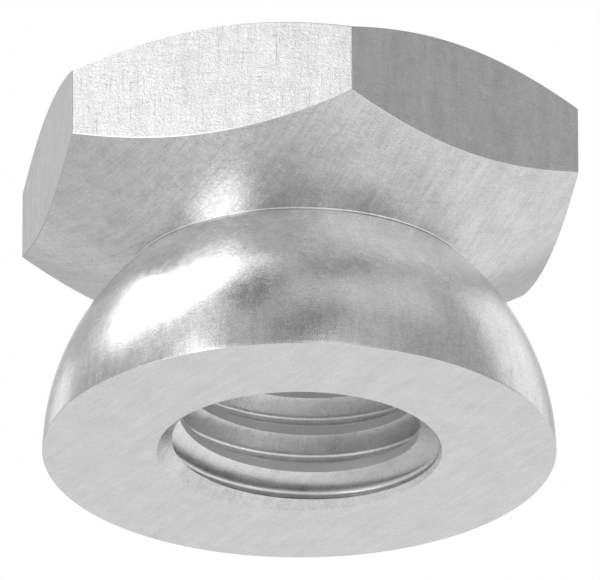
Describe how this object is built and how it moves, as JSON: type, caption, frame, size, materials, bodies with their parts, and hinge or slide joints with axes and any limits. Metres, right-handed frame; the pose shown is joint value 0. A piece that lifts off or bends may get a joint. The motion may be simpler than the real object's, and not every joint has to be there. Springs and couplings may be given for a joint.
{
  "type": "shear nut",
  "caption": "One-piece tamper-resistant nut: its hexagon twists off at a narrow neck once tight and leaves a smooth domed body on the stud.",
  "frame": {"origin": "centre of the flat seat at the foot of the dome", "axes": "+Z along the thread's axis, from the seat to the hexagon; two opposite hexagon corners on X"},
  "size_m": [0.0254, 0.022, 0.0153],
  "materials": {
    "steel": "satin, finely scratched"
  },
  "bodies": {
    "root": {"shear_nut": "steel"}
  },
  "joints": []
}
